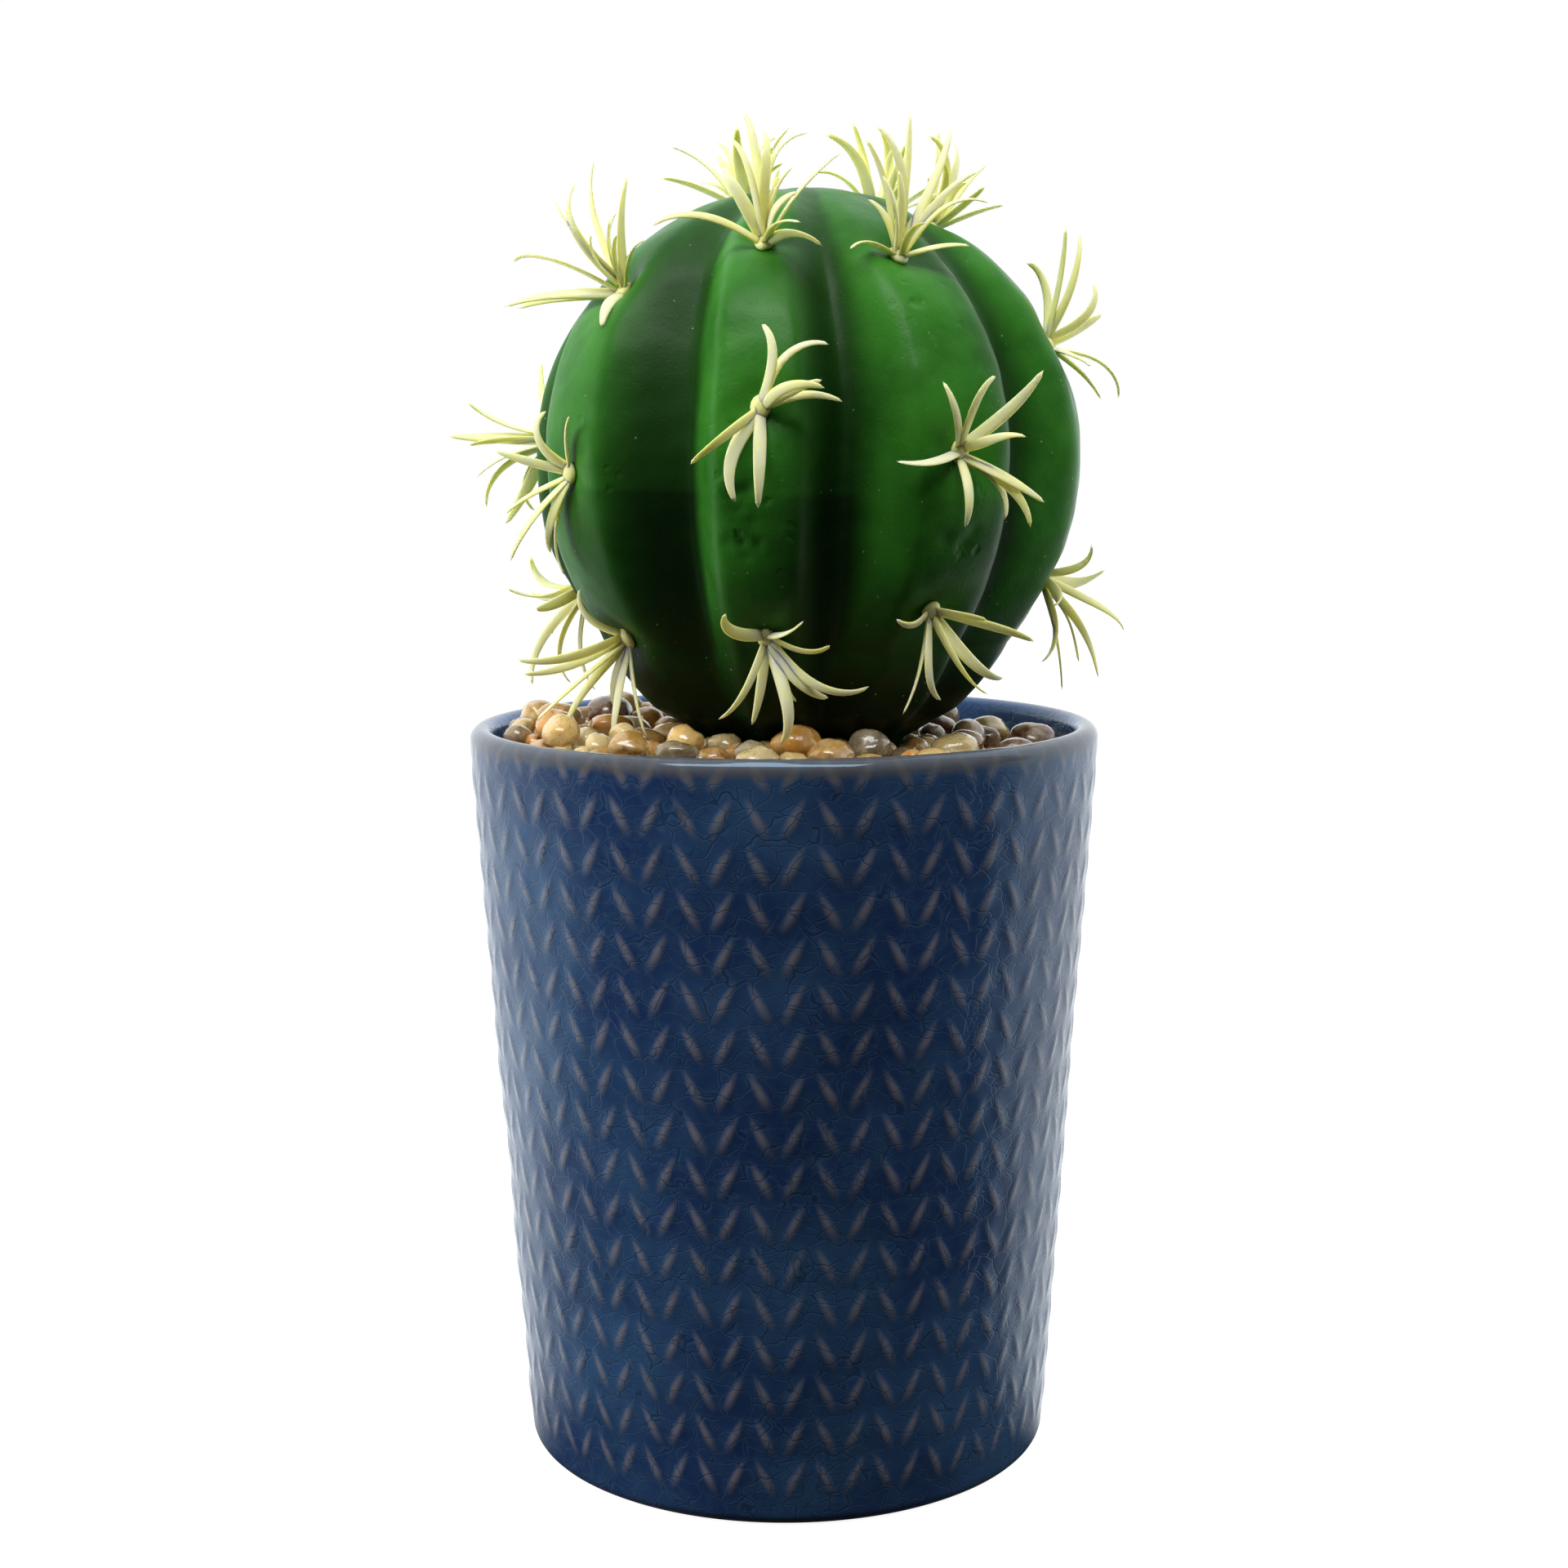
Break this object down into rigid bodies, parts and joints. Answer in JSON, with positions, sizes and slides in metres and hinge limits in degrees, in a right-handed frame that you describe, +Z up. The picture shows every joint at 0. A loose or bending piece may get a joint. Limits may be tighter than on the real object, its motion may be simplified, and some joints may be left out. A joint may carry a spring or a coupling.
{
  "type": "potted artificial round cactus",
  "caption": "Ribbed ball cactus with soft pale spine tufts, standing in pebbles in a tapered blue ceramic pot with a knit relief.",
  "frame": {"origin": "centre of the pot's flat underside, on the surface it stands on", "axes": "+Z up along the pot's axis, -Y towards the front of the plant, +X to its right seen from the front"},
  "size_m": [0.1228, 0.1207, 0.2507],
  "materials": {
    "crackle_glaze": "gloss",
    "foam": "matte",
    "cactus_skin": "satin",
    "spine_vinyl": "satin",
    "stone_ochre": "gloss",
    "stone_cream": "gloss",
    "stone_maroon": "gloss",
    "stone_grey": "gloss"
  },
  "bodies": {
    "root": {"pot": "crackle_glaze", "planting_foam": "foam", "gravel_bed": "stone_grey", "cactus_body": "cactus_skin", "spine_tuft_front_top": "spine_vinyl", "spine_tuft_front_middle": "spine_vinyl", "spine_tuft_front_low": "spine_vinyl", "spine_tuft_front_right_top": "spine_vinyl", "spine_tuft_front_right_middle": "spine_vinyl", "spine_tuft_front_right_low": "spine_vinyl", "spine_tuft_right_top": "spine_vinyl", "spine_tuft_right_middle": "spine_vinyl", "spine_tuft_right_low": "spine_vinyl", "spine_tuft_back_right_top": "spine_vinyl", "spine_tuft_back_right_middle": "spine_vinyl", "spine_tuft_back_right_low": "spine_vinyl", "spine_tuft_back_top": "spine_vinyl", "spine_tuft_back_middle": "spine_vinyl", "spine_tuft_back_low": "spine_vinyl", "spine_tuft_back_left_top": "spine_vinyl", "spine_tuft_back_left_middle": "spine_vinyl", "spine_tuft_back_left_low": "spine_vinyl", "spine_tuft_left_top": "spine_vinyl", "spine_tuft_left_middle": "spine_vinyl", "spine_tuft_left_low": "spine_vinyl", "pebble_01": "stone_maroon", "pebble_02": "stone_ochre", "pebble_03": "stone_ochre", "pebble_04": "stone_cream", "pebble_05": "stone_cream", "pebble_06": "stone_grey", "pebble_07": "stone_grey", "pebble_08": "stone_cream", "pebble_09": "stone_cream", "pebble_10": "stone_cream", "pebble_11": "stone_grey", "pebble_12": "stone_cream", "pebble_13": "stone_ochre", "pebble_14": "stone_maroon", "pebble_15": "stone_grey", "pebble_16": "stone_ochre", "pebble_17": "stone_grey", "pebble_18": "stone_ochre", "pebble_19": "stone_ochre", "pebble_20": "stone_maroon", "pebble_21": "stone_grey", "pebble_22": "stone_maroon", "pebble_23": "stone_maroon", "pebble_24": "stone_maroon", "pebble_25": "stone_maroon", "pebble_26": "stone_maroon", "pebble_27": "stone_grey", "pebble_28": "stone_maroon", "pebble_29": "stone_ochre", "pebble_30": "stone_cream", "pebble_31": "stone_grey", "pebble_32": "stone_cream", "pebble_33": "stone_grey"}
  },
  "joints": []
}
